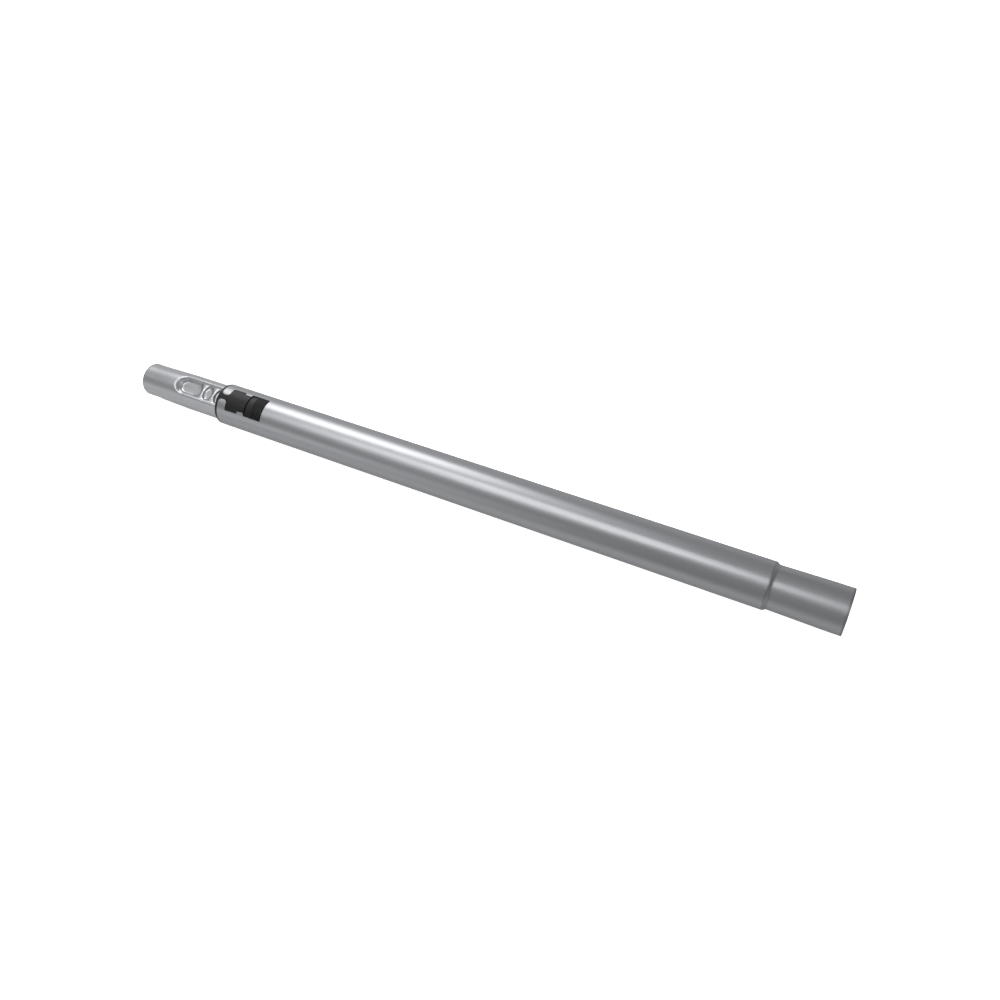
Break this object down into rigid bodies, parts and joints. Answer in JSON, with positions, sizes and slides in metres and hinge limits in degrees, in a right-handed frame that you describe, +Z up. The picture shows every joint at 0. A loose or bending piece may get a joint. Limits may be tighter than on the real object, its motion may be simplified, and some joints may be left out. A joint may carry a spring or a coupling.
{
  "type": "telescopic vacuum cleaner wand",
  "caption": "Telescopic steel vacuum cleaner wand: a pocketed inner tube slides in an outer tube and is held by a spring-loaded slide button lock.",
  "frame": {"origin": "centre of the hose socket's mouth, on the wand's axis", "axes": "+X along the wand and out of the hose socket, so the floor tool's end points to -X; +Z up with the release button on top; the wand lies on its underside"},
  "size_m": [0.624, 0.036, 0.0365],
  "materials": {
    "satin_steel": "satin silver, fine grain along the tube",
    "black_plastic": "fine matte moulded",
    "guide_plastic": "smooth moulded",
    "lock_steel": "smooth, lightly oiled",
    "spring_steel": "drawn wire"
  },
  "bodies": {
    "wand_body": {"outer_tube": "satin_steel", "guide_sleeve": "black_plastic", "return_spring": "spring_steel"},
    "extension": {"inner_tube": "satin_steel", "rear_guide": "guide_plastic"},
    "slider": {"release_button": "black_plastic"},
    "lock": {"lock_block": "lock_steel"}
  },
  "joints": [
    {"name": "telescope", "type": "slide", "parent": "wand_body", "child": "extension", "axis": [-1, 0, 0], "range_m": [-0.048, 0.312]},
    {"name": "button_slide", "type": "slide", "parent": "wand_body", "child": "slider", "axis": [-1, 0, 0], "range_m": [0, 0.006], "stiffness_N_per_m": 600, "springref_m": -0.004, "deforming": ["return_spring"]},
    {"name": "lock_lift", "type": "slide", "parent": "wand_body", "child": "lock", "axis": [0, 0, 1], "range_m": [0, 0.002]}
  ],
  "couplings": [
    {"joint": "lock_lift", "follows": "button_slide", "ratio": 0.33333}
  ]
}
